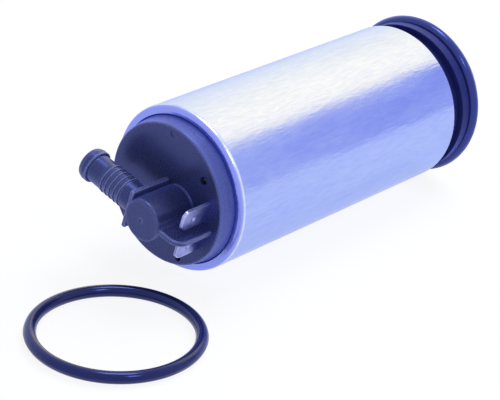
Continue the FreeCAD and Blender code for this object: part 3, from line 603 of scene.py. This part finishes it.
blade_metal = finish("blade_metal", linear(166, 174, 236), linear(128, 136, 208),
                     roughness=0.34, metallic=1.0, patch=420.0, grain=1500.0,
                     grain_depth=0.003, roughness_play=0.04)
spring_steel = finish("spring_steel", linear(150, 152, 168), linear(170, 172, 186),
                      roughness=0.3, metallic=1.0)
bearing_steel = finish("bearing_steel", linear(176, 178, 190), linear(190, 192, 204),
                       roughness=0.18, metallic=1.0)
core_steel = finish("core_steel", linear(96, 98, 112), linear(120, 122, 136),
                    roughness=0.4, metallic=1.0, stretch=LAMINATED, patch=160.0)
bush_bronze = finish("bush_bronze", linear(150, 112, 70), linear(172, 130, 86),
                     roughness=0.45, metallic=1.0)
copper = finish("copper", linear(196, 112, 72), linear(214, 132, 88),
                roughness=0.3, metallic=1.0)
copper_wire = finish("copper_wire", linear(170, 82, 44), linear(198, 104, 58),
                     roughness=0.32, metallic=1.0, stretch=WOUND, patch=700.0)
ferrite = finish("ferrite", linear(52, 52, 58), linear(66, 66, 72), roughness=0.65,
                 specular=0.3)
carbon = finish("carbon", linear(34, 33, 36), linear(50, 48, 52), roughness=0.7,
                specular=0.25)
# Painted highlights along the blades' edges.
blend_in(blade_metal, near_edges(blade_metal.node_tree, BLADE_EDGE_WIDTH), BLADE_EDGE_HIGHLIGHT_TONE)
print("metals are ready")

# %% [markdown]
# Every piece of the construction model gets its finish by name, the hidden ones too, since the
# pump can be cut open. Its meshes stay as they are: only their materials change.

# %% Finishes put on
dress = {
    "can": can_steel, "outlet_cover": cover_plastic, "cover_seal": seal_rubber,
    "terminal_upper": blade_metal, "terminal_lower": blade_metal,
    "check_seat": pale_plastic, "check_valve": seal_rubber, "check_spring": spring_steel,
    "relief_seat": pale_plastic, "relief_ball": bearing_steel, "relief_spring": spring_steel,
    "brush_holder": inner_plastic, "brush_1": carbon, "brush_2": carbon,
    "brush_spring_1": spring_steel, "brush_spring_2": spring_steel,
    "brush_lead_1": copper, "brush_lead_2": copper,
    "upper_bush": bush_bronze, "lower_bush": bush_bronze, "shaft": bearing_steel,
    "armature_core": core_steel, "front_insulator": pale_plastic,
    "rear_insulator": pale_plastic,
    "windings": copper_wire, "commutator": copper, "flux_ring": core_steel,
    "magnet_1": ferrite, "magnet_2": ferrite, "magnet_clips": spring_steel,
    "pump_body": inner_plastic, "impeller": inner_plastic, "inlet_cover": inlet_plastic,
    "thrust_button": bearing_steel, "inlet_ring": seated_rubber_painted_light, "spare_ring": ring_rubber,
}
for node_name, material in dress.items():
    wear(nodes[node_name], material)
bare = [name for name in nodes if name not in dress]
print("finishes on", len(dress), "nodes, none left bare:", not bare, bare)

# %% [markdown]
# ## The rubber rings
# Both rings are moulded cord, round in section, with a hair of flash where the two halves of the
# mould met, at the inner and the outer diameter. A torus primitive would give the ring in one go,
# but not the flash. So one section is drawn as a circle, two of its points are drawn out, and it
# is spun round the ring's axis. The ring in the groove is stretched a little, and the spare one
# lies loose, slightly out of round.

# %% Helpers for modelling
MERGE_DISTANCE = 0.001 * MM


def new_object(name):
    """The object that the last operator made, under its own name."""
    piece = bpy.context.object
    piece.name = name
    piece.data.name = name
    return piece


def pick_vertices(piece, chosen):
    """In edit mode, selects the vertices for which chosen(place) is true, and nothing else."""
    mesh = bmesh.from_edit_mesh(piece.data)
    for vertex in mesh.verts:
        vertex.select = bool(chosen(piece.matrix_world @ vertex.co))
    mesh.select_flush_mode()
    bmesh.update_edit_mesh(piece.data)


def close_up():
    """In edit mode, merges doubled points and turns all faces outwards."""
    bpy.ops.mesh.select_all(action="SELECT")
    bpy.ops.mesh.remove_doubles(threshold=MERGE_DISTANCE)
    bpy.ops.mesh.normals_make_consistent(inside=False)


def settle(piece, smooth_angle=30):
    """Back in object mode, puts the place into the mesh, and smooths where faces nearly line up."""
    bpy.ops.object.mode_set(mode="OBJECT")
    bpy.ops.object.transform_apply(location=True, rotation=True, scale=True)
    bpy.ops.object.shade_smooth_by_angle(angle=math.radians(smooth_angle))
    print(piece.name, "has", len(piece.data.polygons), "faces")


print("modelling helpers are ready")

# %% A ring spun from its section
CORD_POINTS = 48
RING_STEPS = 128
FLASH_HEIGHT = 0.05 * MM
# A point of the section is drawn out as flash when it is this share of the cord from its middle.
OUTERMOST = 0.4999


def round_section(name, middle, thickness, points):
    """A circle in the XZ plane, in edit mode, as the section of a cord or a wire."""
    bpy.ops.object.select_all(action="DESELECT")
    bpy.ops.mesh.primitive_circle_add(vertices=points, radius=thickness / 2, location=middle,
                                      rotation=(math.radians(90), 0, 0))
    piece = new_object(name)
    bpy.ops.object.mode_set(mode="EDIT")
    return piece


def rubber_ring(name, centre, radius, cord, axis):
    """A round cord spun round an axis through its centre, with flash, still in edit mode."""
    outward = Vector((0, 0, 1)) if axis[0] else Vector((1, 0, 0))
    middle = centre + outward * radius
    ring = round_section(name, middle, cord, CORD_POINTS)
    pick_vertices(ring, lambda place: abs((place - middle).dot(outward)) > cord * OUTERMOST)
    stretch = 1 + 2 * FLASH_HEIGHT / cord
    bpy.ops.transform.resize(value=(stretch, stretch, stretch), center_override=middle)
    bpy.ops.mesh.select_all(action="SELECT")
    bpy.ops.mesh.spin(steps=RING_STEPS, angle=2 * math.pi, center=centre, axis=axis)
    close_up()
    return ring


print("a ring is spun in", RING_STEPS, "steps")

# %% The ring in its groove
def box_middle(corners):
    """The middle of a box given by its lowest and highest corners."""
    return (Vector(corners[0]) + Vector(corners[1])) / 2


def box_size(corners):
    """The size of a box given by its lowest and highest corners."""
    return Vector(corners[1]) - Vector(corners[0])


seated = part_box("inlet_ring")
seated_cord = box_size(seated).x
seated_radius = box_size(seated).z / 2 - seated_cord / 2
seated_ring = rubber_ring("seated_ring", box_middle(seated), seated_radius,
                          seated_cord - 2 * FLASH_HEIGHT, (1, 0, 0))
settle(seated_ring)
wear(seated_ring, seated_rubber_painted_light)
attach(seated_ring, "pump")
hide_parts("inlet_ring")

# %% The spare ring
# The photograph shows it a little roomier than its solid, slightly oval, and a touch to the side.
SPARE_ROOM = 1.017
SPARE_SHIFT = (0.60 * MM, 0.08 * MM, 0)
OUT_OF_ROUND = 1.006

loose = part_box("spare_ring")
loose_cord = box_size(loose).z
loose_radius = (box_size(loose).x - loose_cord) / 2 * SPARE_ROOM
loose_middle = box_middle(loose)
spare_ring = rubber_ring("spare_rubber_ring", loose_middle, loose_radius,
                         loose_cord - 2 * FLASH_HEIGHT, (0, 0, 1))
bpy.ops.transform.resize(value=(OUT_OF_ROUND, 1, 1), center_override=loose_middle)
bpy.ops.transform.translate(value=SPARE_SHIFT)
settle(spare_ring)
wear(spare_ring, ring_rubber)
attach(spare_ring, "loose_ring")
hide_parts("spare_ring")

# %% [markdown]
# ## The springs
# Four small compression springs press on the two valves and the two brushes. A spring's wire is
# round and its end coils are closed, so that it stands flat. The wire's section is wound up with
# the Screw modifier, and one spun ring at each end stands for the closed coil.

# %% Winding wire round X
WIRE_POINTS = 12
STEPS_PER_TURN = 24


def end_coil(name, middle, radius, wire):
    """One closed turn of wire, square to X."""
    coil = round_section(name, middle + Vector((0, 0, radius)), wire, WIRE_POINTS)
    bpy.ops.mesh.select_all(action="SELECT")
    bpy.ops.mesh.spin(steps=STEPS_PER_TURN, angle=2 * math.pi, center=middle, axis=(1, 0, 0))
    close_up()
    bpy.ops.object.mode_set(mode="OBJECT")
    return coil


def open_coils(name, start, radius, wire, turns, length):
    """Wire wound up along X from a start on the spring's axis, with both its ends closed."""
    coils = round_section(name, start, wire, WIRE_POINTS)
    bpy.ops.object.mode_set(mode="OBJECT")
    bpy.ops.object.transform_apply(location=False, rotation=True, scale=True)
    bpy.ops.object.mode_set(mode="EDIT")
    bpy.ops.transform.translate(value=(0, 0, radius))
    bpy.ops.object.mode_set(mode="OBJECT")
    screw = coils.modifiers.new("winding", "SCREW")
    screw.axis = "X"
    screw.angle = 2 * math.pi * turns
    screw.screw_offset = length
    screw.steps = screw.render_steps = STEPS_PER_TURN * turns
    bpy.ops.object.modifier_apply(modifier="winding")
    bpy.ops.object.mode_set(mode="EDIT")
    bpy.ops.mesh.select_mode(type="EDGE")
    bpy.ops.mesh.select_all(action="DESELECT")
    bpy.ops.mesh.select_non_manifold(extend=False, use_boundary=True, use_wire=False,
                                     use_multi_face=False, use_non_contiguous=False,
                                     use_verts=False)
    bpy.ops.mesh.edge_face_add()
    bpy.ops.mesh.select_mode(type="VERT")
    close_up()
    bpy.ops.object.mode_set(mode="OBJECT")
    return coils


print("wire is wound in", STEPS_PER_TURN, "steps a turn")

# %% A spring in the room of its construction solid
SPRING_SMOOTHING = 50


def wound_spring(name, node, wire, turns):
    """A spring wound in the room of its construction solid, with both ends closed."""
    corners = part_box(node)
    centre = box_middle(corners)
    radius = box_size(corners).y / 2 - wire / 2
    first, last = corners[0][0] + wire / 2, corners[1][0] - wire / 2
    ends = []
    for number, place in enumerate((first, last)):
        middle = Vector((place, centre.y, centre.z))
        ends.append(end_coil(name + "_end_" + str(number), middle, radius, wire))
    spring = open_coils(name, (first, centre.y, centre.z), radius, wire, turns, last - first)
    for end in ends:
        end.select_set(True)
    bpy.ops.object.join()
    settle(spring, SPRING_SMOOTHING)
    wear(spring, spring_steel)
    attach(spring, "pump")
    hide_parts(node)
    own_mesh(spring)


print("springs are smoothed below", SPRING_SMOOTHING, "degrees")

# %% The four springs
# Name, construction node, thickness of the wire, turns, and the joint that presses the spring.
SPRINGS = [
    ("check_valve_spring", "check_spring", 0.45 * MM, 6, "check_valve_lift"),
    ("relief_valve_spring", "relief_spring", 0.30 * MM, 4, "relief_valve_lift"),
    ("brush_one_spring", "brush_spring_1", 0.40 * MM, 4, "brush_one_feed"),
    ("brush_two_spring", "brush_spring_2", 0.40 * MM, 4, "brush_two_feed"),
]

for name, node, wire, turns, joint in SPRINGS:
    wound_spring(name, node, wire, turns)
print("springs are wound")

# %% [markdown]
# ## The brush leads
# A soft copper braid runs from the back of each brush to its terminal. It could be swept again
# along a curve, but the construction model already has its route, as a six-sided tube of loose
# triangles. So a copy is merged, its triangles are joined into long faces, and a subdivision
# surface makes it round.

# %% Two braids from their construction solids
LEAD_ROUNDING = 2
LEAD_SMOOTHING = 60


def braided_lead(name, node):
    """A rounder copy of a lead."""
    lead = bpy.data.objects.new(name, nodes[node].data.copy())
    scene.collection.objects.link(lead)
    bpy.ops.object.select_all(action="DESELECT")
    lead.select_set(True)
    bpy.context.view_layer.objects.active = lead
    bpy.ops.object.mode_set(mode="EDIT")
    close_up()
    bpy.ops.mesh.tris_convert_to_quads()
    bpy.ops.object.mode_set(mode="OBJECT")
    rounding = lead.modifiers.new("rounding", "SUBSURF")
    rounding.levels = rounding.render_levels = LEAD_ROUNDING
    bpy.ops.object.modifier_apply(modifier="rounding")
    settle(lead, LEAD_SMOOTHING)
    wear(lead, copper)
    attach(lead, "pump")
    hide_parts(node)
    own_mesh(lead)


braided_lead("braided_lead_one", "brush_lead_1")
braided_lead("braided_lead_two", "brush_lead_2")
